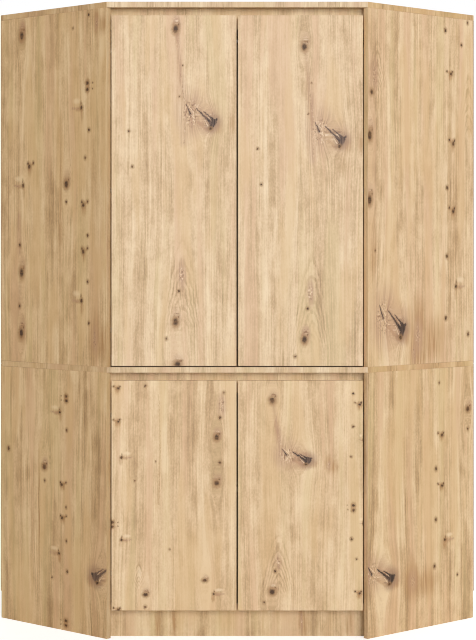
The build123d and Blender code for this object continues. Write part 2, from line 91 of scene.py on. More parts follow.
# ---- node trees ----
class Net:
    """Short ways to add nodes to a tree. A value may be a number, a tuple or another node's output."""

    def __init__(self, tree):
        self.tree = tree
        tree.nodes.clear()

    def add(self, kind, **settings):
        node = self.tree.nodes.new(kind)
        for key, value in settings.items():
            setattr(node, key, value)
        return node

    def feed(self, socket, value):
        if isinstance(value, bpy.types.NodeSocket):
            self.tree.links.new(value, socket)
        else:
            socket.default_value = value

    def math(self, operation, *values):
        node = self.add("ShaderNodeMath", operation=operation)
        for socket, value in zip(node.inputs, values):
            self.feed(socket, value)
        return node.outputs[0]

    def vector(self, operation, *values):
        node = self.add("ShaderNodeVectorMath", operation=operation)
        for socket, value in zip(node.inputs, values):
            self.feed(socket, value)
        return node.outputs["Value" if operation in ("LENGTH", "DOT_PRODUCT") else "Vector"]

    def placed(self, value, shift=(0, 0, 0), turn=(0, 0, 0), scale=(1, 1, 1)):
        """The vector scaled, then turned, then shifted."""
        node = self.add("ShaderNodeMapping")
        for socket, given in zip(node.inputs, (value, shift, turn, scale)):
            self.feed(socket, given)
        return node.outputs[0]

    def noise(self, value, scale=1.0, detail=2.0, roughness=0.5, colour=False):
        """Noise between 0 and 1 at the vector, or three of them as a colour."""
        node = self.add("ShaderNodeTexNoise")
        self.feed(node.inputs["Vector"], value)
        node.inputs["Scale"].default_value = scale
        node.inputs["Detail"].default_value = detail
        node.inputs["Roughness"].default_value = roughness
        return node.outputs["Color" if colour else "Fac"]

    def spread(self, value, start, end, low=0.0, high=1.0, smooth=True):
        """The value carried from start..end to low..high, held at both ends."""
        node = self.add("ShaderNodeMapRange", interpolation_type="SMOOTHSTEP" if smooth else "LINEAR")
        for socket, given in zip(node.inputs, (value, start, end, low, high)):
            self.feed(socket, given)
        return node.outputs[0]

    def mix(self, share, first, second, blend="MIX"):
        """The first colour, with the share of the second laid over it. The numbers are the colour sockets'."""
        node = self.add("ShaderNodeMix", data_type="RGBA", blend_type=blend)
        self.feed(node.inputs[0], share)
        self.feed(node.inputs[6], first)
        self.feed(node.inputs[7], second)
        return node.outputs[2]

    def ramp(self, value, *stops):
        """Colours at places from 0 to 1, each stop being a place and a colour."""
        node = self.add("ShaderNodeValToRGB")
        line = node.color_ramp.elements
        while len(line) < len(stops):
            line.new(1.0)
        for element, (place, colour) in zip(line, stops):
            element.position = place
            element.color = colour
        self.feed(node.inputs[0], value)
        return node.outputs[0]


def new_material(name):
    """Material with a Principled shader, as its tree and that shader."""
    material = bpy.data.materials.new(name)
    material.use_nodes = True
    net = Net(material.node_tree)
    shader = net.add("ShaderNodeBsdfPrincipled")
    out = net.add("ShaderNodeOutputMaterial")
    net.feed(out.inputs["Surface"], shader.outputs[0])
    return material, net, shader


def bump(net, shader, height, depth, strength):
    """Relief of the given depth in metres on the shader's normal."""
    node = net.add("ShaderNodeBump")
    node.inputs["Strength"].default_value = strength
    node.inputs["Distance"].default_value = depth
    net.feed(node.inputs["Height"], height)
    net.feed(shader.inputs["Normal"], node.outputs[0])


# ---- oak decor ----
FIELDS = ("Marks", "Cracks", "Shades", "Stains", "Lights")


def oak_grain():
    """The decor's grain as a node group. Place is x across, y through and z along the grain, in metres.
    Marks, Cracks, Shades, Stains and Lights are distances that are under 1 inside a knot, a crack, a mottled
    zone, a brown zone or a pale zone. Rings is the strength of the arched lines. Tint and Contrast are given
    for each board; the tint also holds painted shade on some boards and painted light on others."""
    group = bpy.data.node_groups.new("oak_grain", "ShaderNodeTree")
    floats = (*FIELDS, "Rings", "Contrast")
    for name, kind in (("Place", "Vector"), ("Tint", "Color"), *((name, "Float") for name in floats)):
        group.interface.new_socket(name, in_out="INPUT", socket_type="NodeSocket" + kind)
    for name, kind in (("Color", "Color"), ("Roughness", "Float"), ("Height", "Float")):
        group.interface.new_socket(name, in_out="OUTPUT", socket_type="NodeSocket" + kind)
    net = Net(group)
    given = net.add("NodeGroupInput").outputs
    out = net.add("NodeGroupOutput").inputs
    place, tint = given["Place"], given["Tint"]
    marks, cracks, shades, stains, lights, rings, contrast = (given[name] for name in floats)

    # slow wandering of the grain lines
    wander = net.noise(net.vector("MULTIPLY", place, (4, 4, 1.6)), detail=1.0)
    offset = net.add("ShaderNodeCombineXYZ")
    net.feed(offset.inputs[0], net.math("MULTIPLY_ADD", wander, 0.024, -0.012))
    line = net.vector("ADD", place, offset.outputs[0])

    broad = net.noise(net.vector("MULTIPLY", line, (17, 17, 2.4)), detail=2.0)
    bands = net.noise(net.vector("MULTIPLY", line, (75, 50, 3.2)), detail=2.0, roughness=0.6)
    streaks = net.noise(net.vector("MULTIPLY", line, (260, 120, 8.0)), detail=3.0, roughness=0.65)
    lines = net.noise(net.vector("MULTIPLY", line, (300, 150, 1.8)), detail=2.0, roughness=0.6)
    fibres = net.noise(net.vector("MULTIPLY", line, (800, 450, 28.0)), detail=2.0, roughness=0.6)
    clouds = net.noise(net.vector("MULTIPLY", place, (34, 34, 20)), detail=3.0)
    dust = net.noise(net.vector("MULTIPLY", place, (260, 260, 150)), detail=2.0)
    patches = net.noise(net.vector("MULTIPLY", line, (26, 26, 5.0)), detail=2.0)
    hues = net.noise(net.vector("MULTIPLY", line, (20, 20, 1.2)), detail=2.0)
    wash = net.noise(net.vector("MULTIPLY", place, (17, 17, 2.5)), detail=2.0)
    columns = net.noise(net.vector("MULTIPLY", line, (26, 26, 0.5)), detail=2.0)

    tone = 0.5
    shares = (
        (broad, 0.55),
        (columns, 0.72),
        (bands, 0.4),
        (streaks, 0.48),
        (lines, 0.5),
        (fibres, 0.22),
        (clouds, 0.46),
        (dust, 0.3),
    )
    for part, share in shares:
        tone = net.math("MULTIPLY_ADD", net.math("SUBTRACT", part, 0.5), share, tone)
    tone = net.math("ADD", tone, net.spread(patches, 0.44, 0.55, -0.04, 0.04))
    tone = net.math("MULTIPLY_ADD", net.math("SUBTRACT", tone, 0.5), contrast, 0.5)
    arches = net.math("MULTIPLY", rings, net.spread(streaks, 0.35, 0.65, 0.24, 0.13))
    tone = net.math("SUBTRACT", tone, arches)
    wood = net.ramp(
        tone,
        (0.12, srgb(176, 145, 108)),
        (0.34, srgb(205, 174, 136)),
        (0.52, srgb(225, 197, 160)),
        (0.76, srgb(240, 217, 183)),
    )
    wood = net.mix(net.spread(hues, 0.52, 0.66, 0.0, 0.58), wood, srgb(222, 186, 152))
    wood = net.mix(net.spread(hues, 0.46, 0.32, 0.0, 0.45), wood, srgb(222, 200, 154))
    wood = net.mix(net.spread(wash, 0.50, 0.64, 0.0, 0.5), wood, srgb(219, 186, 140))

    # short dark pores
    wood = net.mix(net.spread(fibres, 0.60, 0.76, 0.0, 0.1), wood, srgb(150, 114, 80))

    # zones: brown, then mottled with dark and pale flecks
    strands = net.math("MULTIPLY_ADD", streaks, 0.6, net.math("MULTIPLY", lines, 0.4))
    stain = net.math("MULTIPLY", net.spread(stains, 1.0, 0.25), net.spread(strands, 0.42, 0.56, 0.95, 0.4))
    wood = net.mix(stain, wood, srgb(184, 143, 99))
    shade = net.math("MULTIPLY", net.spread(shades, 1.0, 0.3), net.spread(strands, 0.4, 0.58, 0.95, 0.35))
    wood = net.mix(shade, wood, srgb(192, 155, 127))
    flecked = net.spread(shades, 0.5, 0.2)
    dark = net.math("MULTIPLY", flecked, net.spread(dust, 0.46, 0.33, 0.0, 0.85))
    wood = net.mix(dark, wood, srgb(136, 101, 74))
    pale = net.math("MULTIPLY", flecked, net.spread(dust, 0.57, 0.69, 0.0, 0.8))
    wood = net.mix(pale, wood, srgb(240, 220, 192))

    # halo and heart of each crack and knot, with the pale zones between them
    wood = net.mix(net.spread(cracks, 3.6, 0.9, 0.0, 0.7), wood, srgb(160, 128, 104))
    bark = net.mix(net.spread(streaks, 0.4, 0.62), srgb(46, 34, 30), srgb(112, 88, 76))
    wood = net.mix(net.spread(cracks, 1.2, 0.55, 0.0, 0.95), wood, bark)
    wood = net.mix(net.spread(lights, 1.1, 0.2, 0.0, 0.65), wood, srgb(243, 222, 190))
    wood = net.mix(net.spread(marks, 2.6, 0.8, 0.0, 0.7), wood, srgb(166, 128, 88))
    heart = net.mix(net.spread(dust, 0.4, 0.6), srgb(64, 40, 20), srgb(104, 72, 42))
    wood = net.mix(net.spread(marks, 1.25, 0.45, 0.0, 0.95), wood, heart)

    net.feed(out["Color"], net.mix(1.0, wood, tint, "MULTIPLY"))
    net.feed(out["Roughness"], net.math("MULTIPLY_ADD", fibres, 0.16, 0.44))
    net.feed(out["Height"], net.math("MULTIPLY_ADD", streaks, 0.5, fibres))
    return group


GRAIN = oak_grain()


# Marks of the decor. A mark is a kind and its sizes in millimetres. A paleness may be left out:
#   spot, shade, stain and light (dark, mottled, brown and pale zone): x, z, half width, half height, paleness
#   streak, haze, smudge and glint (dark, mottled, brown and pale line): x, z, x, z, half width at each end,
#   paleness
#   rings: x and z of the top, half width at the foot, height, whole lines from top to foot
#   bend: x, z, radius that the grain flows round, stretch
STREAKS = ("streak", "haze", "smudge", "glint")
FIELD_OF = {
    "spot": "Marks",
    "streak": "Cracks",
    "shade": "Shades",
    "haze": "Shades",
    "stain": "Stains",
    "smudge": "Stains",
    "light": "Lights",
    "glint": "Lights",
}
FAR = 9.0  # what a field is past every mark's reach
RAGGED = (0.008, 0, 0.009)  # span that the marks' outlines wander over, across and along the grain
FAINT = 0.74  # paleness that leaves about a quarter of a zone's size to be seen
SEED_STEP = 1.7  # metres through the grain from one seed to the next
STRIP_SEED = 0.5  # from a side panel's seed to its narrow edges'
EDGE_CONTRAST = 1.1  # of the level boards' edge bands
SIDE_CONTRAST = 1.18  # of the boards that stand at 45 degrees to the front
EDGE_SQUASH = 0.15  # what a height counts for in the edge bands' grain


def speck(x, z, size=3.5, pale=0.25):
    """Small pin knot."""
    return [("spot", x, z, size, size * 1.15, pale)]


def knot(x, z, width=7.5, height=11.0):
    """Knot with a mottled zone above it, which the grain flows round."""
    return [
        ("spot", x, z, width, height),
        ("spot", x + width * 1.1, z + height * 1.2, width * 0.6, height * 0.6, 0.6),
        ("stain", x, z, width * 1.9, height * 2.2),
        ("shade", x + width * 0.5, z + height * 1.4, width * 2.4, height * 3.2),
        ("bend", x, z, width * 1.9, 3.5),
    ]


def vee(x, z, wide=1.0, tall=1.0):
    """Big and small pin knot, joined like the arms of a V. A negative width mirrors it."""
    size = abs(wide)
    return [
        ("spot", x, z, 4.4 * size, 4.8 * tall),
        ("spot", x + 4 * wide, z + 6 * tall, 2.8 * size, 3.6 * tall, 0.1),
        ("spot", x - 13 * wide, z + 7 * tall, 2.9 * size, 3.4 * tall, 0.2),
        ("smudge", x - 12 * wide, z + 5 * tall, x, z, 2.8 * size, 6.0 * size),
        ("stain", x - 2 * wide, z - 5 * tall, 11 * size, 22 * tall),
    ]


def tee(x, z, wide=1.0, tall=1.0):
    """Pin knot at the end of a level smear, with a pale zone over the smear."""
    size = abs(wide)
    return [
        ("spot", x, z, 3.6 * size, 4.6 * tall),
        ("spot", x + 1 * wide, z + 8 * tall, 2.2 * size, 5.0 * tall, 0.5),
        ("smudge", x, z - 1 * tall, x + 14 * wide, z - 3 * tall, 9.0 * size, 8.0 * size, 0.2),
        ("haze", x + 8 * wide, z - 2 * tall, x + 28 * wide, z, 9.0 * size, 6.0 * size, 0.3),
        ("light", x + 15 * wide, z + 14 * tall, 15 * size, 8 * tall),
        ("stain", x - 2 * wide, z - 14 * tall, 7 * size, 22 * tall),
    ]


def pair(x, z, wide=1.0, tall=1.0):
    """Two pin knots, one over the other."""
    size = abs(wide)
    return [
        ("spot", x, z + 7 * tall, 4.6 * size, 4.6 * tall),
        ("spot", x, z - 7 * tall, 4.6 * size, 4.6 * tall),
        ("spot", x + 16 * wide, z + 7 * tall, 1.8 * size, 2.0 * tall, 0.45),
        ("spot", x + 16 * wide, z - 6 * tall, 1.8 * size, 2.0 * tall, 0.45),
        ("stain", x, z, 10 * size, 26 * tall),
    ]


def claw(x, z, wide=1.0, tall=1.0):
    """Cracked branch knot: a thin streak that widens into a dark heel, with a toe over it, a lone streak
    beside it and mottled wood round it."""
    size = abs(wide)

    def streak(kind, x1, z1, x2, z2, first, last):
        ends = (x + x1 * wide, z + z1 * tall, x + x2 * wide, z + z2 * tall)
        return (kind, *ends, first * size, last * size)

    return [
        streak("streak", 0, 0, 24, -23, 1.0, 2.6),
        streak("streak", 24, -23, 44, -43, 2.6, 6.0),
        streak("streak", 21, -9, 38, -23, 1.0, 1.9),
        streak("streak", 38, -23, 50, -36, 2.4, 8.0),
        streak("streak", 48, -34, 57, -30, 5.0, 3.4),
        streak("streak", 48, -38, 42, -52, 9.0, 7.0),
        streak("streak", -29, 12, -17, -15, 0.8, 2.2),
        streak("smudge", 26, -16, 46, -36, 4.0, 8.0),
        streak("smudge", -14, -24, 30, -58, 4.0, 7.0),
        streak("glint", 30, -20, 39, -30, 0.6, 0.7),
        streak("glint", 23, -32, 33, -49, 0.8, 2.2),
        streak("glint", -14, -18, -6, -27, 1.2, 2.2),
        streak("glint", -22, 8, -9, -10, 0.8, 1.8),
        ("spot", x + 40 * wide, z - 57 * tall, 4.5 * size, 4.5 * tall),
        ("shade", x - 14 * wide, z - 14 * tall, 66 * size, 96 * tall),
        ("shade", x + 36 * wide, z - 32 * tall, 56 * size, 62 * tall),
        ("stain", x + 62 * wide, z - 54 * tall, 16 * size, 30 * tall),
        ("bend", x + 22 * wide, z - 30 * tall, 22 * size, 1.9),
    ]


def arch(x, z, wide=54.0, tall=245.0, lines=5):
    """Growth rings that close over each other under the top given."""
    return [("rings", x, z, wide, tall, lines)]


def smear(x, z, wide=24.0, tall=60.0):
    """Brown streaky zone of a dark and a pale patch."""
    return [
        ("stain", x - 0.45 * wide, z + 0.1 * tall, 0.75 * wide, 1.25 * tall),
        ("stain", x + 0.35 * wide, z - 0.15 * tall, 1.3 * wide, 1.05 * tall, 0.12),
        ("shade", x - 0.45 * wide, z, 0.45 * wide, 0.8 * tall, 0.1),
    ]


def tail(x, z, wide=9.0, tall=90.0):
    """Narrow brown band along the grain."""
    return [("stain", x, z, wide, tall)]


def column(kind, x, z, wide, tall):
    """Faint zone along the grain, with the half width and half height that show."""
    return [(kind, x, z, 4 * wide, 4 * tall, FAINT)]


def decor_place(net, turn, seed, squash):
    """Object coordinates turned into the board's plane, with the seed kept apart as a shift through it."""
    spot = net.add("ShaderNodeTexCoord").outputs["Object"]
    return net.placed(spot, shift=(0, seed, 0), turn=turn, scale=(1, 1, squash))


def flow_round(net, flat, x, z, radius, stretch):
    """Sideways shift of the grain that flows round a cylinder: minus dx times the radius squared, over the
    squared distance or, inside, the radius squared. Distances along the grain are divided by the stretch."""
    near = net.vector("MULTIPLY_ADD", flat, (1, 0, 1 / stretch), (-x, 0, -z / stretch))
    square = net.math("MAXIMUM", net.vector("DOT_PRODUCT", near, near), radius**2)
    across = net.vector("DOT_PRODUCT", near, (1, 0, 0))
    return net.math("DIVIDE", net.math("MULTIPLY", across, -(radius**2)), square)


def ring_lines(net, place, wobble, arches, x, z, width, height, lines):
    """Arched lines, added to the arches given. A line runs where down - |across|^1.6 is the same, in shares
    of the height and the width, and the lines lie closer to each other inwards."""
    near = net.vector("MULTIPLY_ADD", place, (1 / width, 0, -1 / height), (-x / width, 0, z / height))
    down = net.vector("DOT_PRODUCT", near, (0, 0, 1))
    bow = net.math("POWER", net.math("ABSOLUTE", net.vector("DOT_PRODUCT", near, (1, 0, 0))), 1.6)
    inside = net.math("SUBTRACT", down, bow)
    phase = net.math("POWER", net.math("MULTIPLY_ADD", wobble, 0.3, inside), 1.4)
    wave = net.spread(net.math("SINE", net.math("MULTIPLY", phase, lines * 2 * math.pi)), -0.3, 0.8)
    zone = net.math("MULTIPLY", net.spread(inside, -0.12, 0.05), net.spread(down, 1.25, 0.7))
    return net.math("MULTIPLY_ADD", wave, zone, arches)


def from_line(net, flat, x, z, end_x, end_z, first, last):
    """Distance from a straight line, over the line's half width there, which runs from first to last."""
    length = math.hypot(end_x - x, end_z - z)
    ahead = ((end_x - x) / length, 0, (end_z - z) / length)
    near = net.vector("SUBTRACT", flat, (x, 0, z))
    along = net.vector("DOT_PRODUCT", near, ahead)
    aside = net.vector("DOT_PRODUCT", near, (-ahead[2], 0, ahead[0]))
    gone = net.spread(along, 0.0, length, smooth=False)
    beyond = net.math("MULTIPLY_ADD", gone, -length, along)
    reach = net.math("MULTIPLY_ADD", aside, aside, net.math("MULTIPLY", beyond, beyond))
    width = net.math("MULTIPLY_ADD", gone, last - first, first)
    return net.math("DIVIDE", net.math("SQRT", reach), width)


def from_spot(net, flat, x, z, width, height):
    """Distance from a spot's middle, over its half width across the grain and its half height along it."""
    near = net.vector("MULTIPLY_ADD", flat, (1 / width, 0, 1 / height), (-x / width, 0, -z / height))
    return net.vector("LENGTH", near)


def oak(name, turn, seed, tint, marks=(), edge=False):
    """Oak decor on a board that is turned from the decor's plane, with a tint and marks given for the board;
    on some boards the tint also holds painted shade, on others painted light. An edge band shows the grain in
    short bars across it."""
    material, net, shader = new_material(name)
    place = decor_place(net, turn, seed * SEED_STEP, EDGE_SQUASH if edge else 1.0)
    ragged = net.noise(place, scale=170.0, detail=3.0, roughness=0.7, colour=True)
    ragged = net.vector("MULTIPLY", net.vector("SUBTRACT", ragged, (0.5, 0.5, 0.5)), RAGGED)
    flat = net.vector("ADD", net.vector("MULTIPLY", place, (1, 0, 1)), ragged)
    wobble = net.noise(place, scale=28.0, detail=3.0) if any(mark[0] == "rings" for mark in marks) else 0.0
    fields = dict.fromkeys(FIELDS, FAR)
    sideways, arches = 0.0, 0.0
    for kind, x, z, *sizes in marks:
        x, z = x * MM, z * MM
        if kind == "bend":
            radius, stretch = sizes
            sideways = net.math("ADD", flow_round(net, flat, x, z, radius * MM, stretch), sideways)
        elif kind == "rings":
            width, height, lines = sizes
            arches = ring_lines(net, place, wobble, arches, x, z, width * MM, height * MM, lines)
        else:
            measure, count = (from_line, 4) if kind in STREAKS else (from_spot, 2)
            distance = measure(net, flat, x, z, *(size * MM for size in sizes[:count]))
            paleness = sum(sizes[count:])
            if paleness:
                distance = net.math("ADD", distance, paleness)
            field = FIELD_OF[kind]
            fields[field] = net.math("MINIMUM", fields[field], distance)

    bent = net.add("ShaderNodeCombineXYZ")
    net.feed(bent.inputs[0], sideways)
    grain = net.add("ShaderNodeGroup", node_tree=GRAIN)
    net.feed(grain.inputs["Place"], net.vector("ADD", place, bent.outputs[0]))
    for field, distance in fields.items():
        net.feed(grain.inputs[field], distance)
    net.feed(grain.inputs["Rings"], arches)
    grain.inputs["Tint"].default_value = (*tint, 1)
    contrast = SIDE_CONTRAST if turn in (LEFT_SIDE, RIGHT_SIDE) else 1.0
    grain.inputs["Contrast"].default_value = EDGE_CONTRAST if edge else contrast
    net.feed(shader.inputs["Base Color"], grain.outputs["Color"])
    net.feed(shader.inputs["Roughness"], grain.outputs["Roughness"])
    shader.inputs["Specular IOR Level"].default_value = 0.35
    bump(net, shader, grain.outputs["Height"], 0.00012, 0.6)
    return material


# how a board is turned to lie in the decor's plane
UPRIGHT = (0, 0, 0)
LEFT_SIDE = (0, 0, DIAGONAL)
RIGHT_SIDE = (0, 0, -DIAGONAL)
LEVEL = (math.pi / 2, 0, 0)

UPPER_DOOR_MARKS = [
    *knot(-174, 1723),
    *speck(-154, 1620, 2.2, 0.35),
    *speck(-163, 1533, 2.6, 0.35),
    ("haze", -170, 1712, -160, 1600, 20.0, 22.0, 0.4),
    ("haze", -160, 1600, -146, 1495, 22.0, 60.0, 0.35),
    ("haze", -146, 1495, -150, 1400, 60.0, 26.0, 0.35),
    ("smudge", -171, 1712, -163, 1600, 15.0, 18.0, 0.5),
    ("smudge", -163, 1600, -150, 1500, 18.0, 30.0, 0.5),
    ("stain", -14, 1452, 32, 90, 0.45),
    *column("stain", -60, 1350, 40, 500),
    *claw(-115, 1498),
    *speck(-306, 1435),
    *speck(-296, 1334, 3.8),
    *speck(-165, 983, 3.6, 0.0),
    ("shade", -157, 1030, 18, 60),
    *arch(-154, 1125),
    *knot(-174, 896),
    *speck(-200, 848, 4.2, 0.35),
    *knot(-169, 776, 9, 8),
]
UPPER_DOOR_SHIFT = (364, -50)  # from the left door's marks to the right door's
LOWER_LEFT_DOOR_MARKS = [
    *vee(-336, 708, 1.0, 0.8),
    *speck(-260, 714, 3.4, 0.1),
    *vee(-336, 614, 1.0, 0.8),
    *speck(-37, 696, 4.0, 0.45),
    ("shade", -44, 660, 20, 50),
    *speck(-49, 625, 3.4, 0.0),
    *knot(-58, 569, 7, 8),
    *speck(-49, 498, 3.6, 0.0),
    *knot(-58, 440, 7, 8),
    *tee(-327, 513, 1.0, 0.8),
    *speck(-230, 501, 2.4, 0.35),
    *speck(-290, 446, 2.6, 0.2),
    *pair(-353, 323, 1.0, 0.85),
    *tee(-327, 280, 1.0, 0.8),
    *speck(-191, 253, 3.4, 0.5),
    *knot(-259, 125, 6.5, 5.5),
    *arch(-278, 212, 20, 70, 4),
    ("light", -276, 185, 8, 22),
    *knot(-92, 165, 6.5, 4.5),
    *tee(-66, 127, 1.0, 0.8),
    *speck(-260, 90, 3.4, 0.0),
    *vee(-336, 82, 1.0, 0.8),
    ("smudge", -222, 690, -218, 540, 3.0, 4.0, 0.3),
    ("smudge", -218, 540, -222, 380, 4.0, 3.0, 0.2),
]
LOWER_RIGHT_DOOR_MARKS = [
    *knot(99, 674, 8, 8.5),
    ("haze", 103, 664, 112, 600, 18.0, 21.0, 0.4),
    ("haze", 112, 600, 128, 528, 21.0, 50.0, 0.35),
    ("smudge", 102, 664, 110, 600, 13.0, 16.0, 0.5),
    ("smudge", 110, 600, 124, 530, 16.0, 24.0, 0.5),
    *column("stain", 305, 430, 45, 120),
    *claw(156, 528, 0.95, 0.62),
    *speck(328, 693, 2.8, 0.1),
    *vee(346, 662, 1.0, 0.8),
    *speck(328, 600, 3.0, 0.0),
    *tee(355, 563, -0.4, 0.8),
    *speck(322, 515, 3.0, 0.2),
    *smear(267, 490, 20, 30),
    *pair(328, 371, -1.0, 0.95),
    *tee(355, 327, -0.4, 0.8),
    *speck(323, 282, 3.6, 0.1),
    *speck(337, 226, 3.2, 0.3),
    *speck(107, 191, 3.6, 0.0),
    ("shade", 116, 218, 16, 36),
    *arch(116, 294, 46, 155),
    *knot(99, 133, 8, 9),
    *speck(76, 103, 4.2, 0.35),
    *vee(346, 129, 1.0, 0.8),
]


def moved(marks, x=0, z=0):
    """The same marks somewhere else in the board's plane."""
    out = []
    for kind, at_x, at_z, *sizes in marks:
        if kind in STREAKS:
            sizes = [sizes[0] + x, sizes[1] + z, *sizes[2:]]
        out.append((kind, at_x + x, at_z + z, *sizes))
    return out


WIDE = 1.42  # the side panels' decor is printed larger
UPPER_LEFT_SIDE_MARKS = [
    *knot(-270, 1732, 9, 13),
    *speck(32, 1769, 4.2, 0.1),
    *speck(-37, 1736, 4, 0.45),
    *smear(79, 1744, 30, 44),
    *pair(26, 1566, WIDE, 1.3),
    *tee(0, 1506, -WIDE, WIDE),
    *speck(33, 1441, 4.2, 0.0),
    *speck(16, 1362, 5, 0.3),
    *vee(-235, 1344, -WIDE, WIDE),
    *tee(-264, 1289, -WIDE, WIDE),
    *knot(-67, 1288, 9, 11),
    *arch(-48, 1345, 15, 60, 3),
    *speck(-67, 1237, 4, 0.0),
    *vee(8, 1227, -WIDE, WIDE),
    *speck(27, 1140, 4.2, 0.1),
    *vee(8, 1094, -WIDE, WIDE),
    *speck(27, 1008, 4.2, 0.1),
    *knot(-271, 1031, 9, 13),
    *speck(-279, 1113, 5, 0.1),
    *tee(0, 954, -WIDE, WIDE),
    *speck(-280, 933, 5, 0.1),
    *knot(-272, 853, 9, 14),
    *speck(32, 890, 4.2, 0.1),
    *smear(80, 845, 48, 96),
    *tail(-93, 1250, 7, 420),
    ("haze", -282, 1200, -280, 1090, 22.0, 28.0, 0.4),
    ("haze", -280, 1000, -280, 910, 24.0, 28.0, 0.45),
    *column("stain", -276, 1100, 26, 420),
    *column("stain", 60, 1270, 60, 600),
]
LOWER_LEFT_SIDE_MARKS = [
    *pair(-67, 670, -WIDE, 0.95),
    *tee(-96, 629, -WIDE, 0.97),
    *speck(-65, 579, 4.2, 0.1),
    *speck(-332, 508, 5.5, 0.0),
    *knot(-166, 466, 9, 8),
    *arch(-140, 522, 15, 60, 3),
    *speck(-164, 426, 4.5, 0.3),
    *vee(-87, 420, -WIDE, 0.97),
    *speck(-68, 356, 4.0, 0.2),
    *vee(-86, 324, -WIDE, 0.97),
    *speck(-67, 259, 4.2, 0.2),
    *tee(-100, 220, -WIDE, 0.97),
    *speck(-63, 171, 4.2, 0.1),
    *speck(-131, 147, 3.4, 0.2),
    *claw(122, 203, -1.33, 0.86),
    *pair(-68, 22, -WIDE, 0.95),
    *tail(-190, 330, 7, 260),
    *column("stain", -100, 360, 34, 500),
    *column("stain", 60, 250, 50, 400),
]
UPPER_RIGHT_SIDE_MARKS = [
    *speck(236, 1745, 5, 0.0),
    *speck(311, 1707, 4, 0.0),
    *speck(340, 1775, 4.4, 0.2),
    *vee(262, 1618, WIDE, 1.0),
    *arch(-68, 1690, 44, 150),
    ("shade", -80, 1595, 34, 100, 0.15),
    *column("shade", -84, 1400, 30, 500),
    *column("stain", 280, 1270, 100, 600),
    *speck(-92, 1546, 7.0, 0.1),
    *knot(-101, 1423, 9, 14),
    *knot(-101, 1241, 9, 14),
    *tail(-82, 1080, 16, 150),
    *vee(273, 1413, WIDE, WIDE),
    *speck(244, 1282, 5, 0.0),
    *vee(273, 1213, WIDE, WIDE),
    *speck(243, 1080, 5, 0.0),
    *speck(-77, 1097, 3.5, 0.2),
    *tee(285, 991, WIDE, WIDE),
    *speck(238, 898, 5.2, 0.0),
    *speck(343, 848, 4.6, 0.0),
    *claw(-20, 925, 1.33, 1.37),
    *smear(150, 850, 85, 115),
    *smear(110, 800, 40, 70),
    *arch(345, 1615, 50, 160, 4),
]
LOWER_RIGHT_SIDE_MARKS = [
    *speck(208, 709, 4.0, 0.3),
    *vee(221, 555, WIDE, 0.97),
    *speck(193, 458, 5, 0.0),
    *vee(221, 406, WIDE, 0.97),
    *speck(192, 309, 5, 0.1),
    *tee(234, 246, WIDE, 0.97),
    *speck(186, 173, 5, 0.0),
    *speck(292, 137, 3.6, 0.1),
    *knot(341, 625, 9, 8),
    *speck(341, 566, 4, 0.1),
    *claw(-69, 192, 1.33, 0.84),
    *smear(120, 141, 74, 70),
    *column("stain", 60, 400, 34, 450),
    *column("stain", 230, 400, 40, 450),
]
PLINTH_MARKS = [
    *tail(-226, 40, 12, 70),
    *tail(-181, 40, 9, 70),
    *smear(190, 40, 16, 70),
    *tail(317, 40, 14, 70),
]
PLAIN_TINT = (0.99, 0.985, 0.985)  # of the upper doors and the boards that are little seen
# painted light and shade: besides the print's tone, these tints darken and warm the lower doors and the side
# panels, the left sides most, and lighten the upper right side, as the light falls on them
LOWER_DOOR_TINT = (0.965, 0.935, 0.89)
LEFT_SIDE_TINT = (1.0, 0.915, 0.77)
RIGHT_SIDE_TINT = (1.0, 0.955, 0.87)
UPPER_RIGHT_SIDE_TINT = (1.03, 0.995, 0.95)
PLINTH_TINT = (0.885, 0.865, 0.79)
# painted light: the rails in the finger slots are lightened against the shade that the boards over them cast
RAIL_LIGHTENED_TINT = (1.06, 1.06, 1.0)
# painted shade: the sides' narrow front edges are tinted darker, the left ones most, for the shade between
# door and side panel
STRIP_SHADE_TINTS = {"left": (0.72, 0.66, 0.56), "right": (0.98, 0.93, 0.86)}  # of the sides' narrow front edges
FRONT_EDGE_TINT = (0.935, 0.935, 0.94)  # of the level boards, in front
SIDE_EDGE_TINT = (0.91, 0.82, 0.68)  # and on their other edges
BOARDS = {
    "upper_left_door": (UPRIGHT, 1, PLAIN_TINT, UPPER_DOOR_MARKS),
    "upper_right_door": (UPRIGHT, 2, PLAIN_TINT, moved(UPPER_DOOR_MARKS, *UPPER_DOOR_SHIFT)),
    "lower_left_door": (UPRIGHT, 3, LOWER_DOOR_TINT, LOWER_LEFT_DOOR_MARKS),
    "lower_right_door": (UPRIGHT, 4, LOWER_DOOR_TINT, LOWER_RIGHT_DOOR_MARKS),
    "upper_left_side": (LEFT_SIDE, 5, LEFT_SIDE_TINT, UPPER_LEFT_SIDE_MARKS),
    "lower_left_side": (LEFT_SIDE, 6, LEFT_SIDE_TINT, LOWER_LEFT_SIDE_MARKS),
    "upper_right_side": (RIGHT_SIDE, 7, UPPER_RIGHT_SIDE_TINT, UPPER_RIGHT_SIDE_MARKS),
    "lower_right_side": (RIGHT_SIDE, 8, RIGHT_SIDE_TINT, LOWER_RIGHT_SIDE_MARKS),
    "plinth_board": (UPRIGHT, 9, PLINTH_TINT, PLINTH_MARKS),
    "lower_rail": (UPRIGHT, 10, RAIL_LIGHTENED_TINT),
    "upper_rail": (UPRIGHT, 11, RAIL_LIGHTENED_TINT),
    "top_board": (LEVEL, 12, PLAIN_TINT),
    "middle_board": (LEVEL, 13, PLAIN_TINT),
    "bottom_board": (LEVEL, 14, PLAIN_TINT),
    "lower_shelf": (LEVEL, 15, PLAIN_TINT),
    "lower_corner_post": (LEFT_SIDE, 16, PLAIN_TINT),
    "upper_corner_post": (LEFT_SIDE, 17, PLAIN_TINT),
}


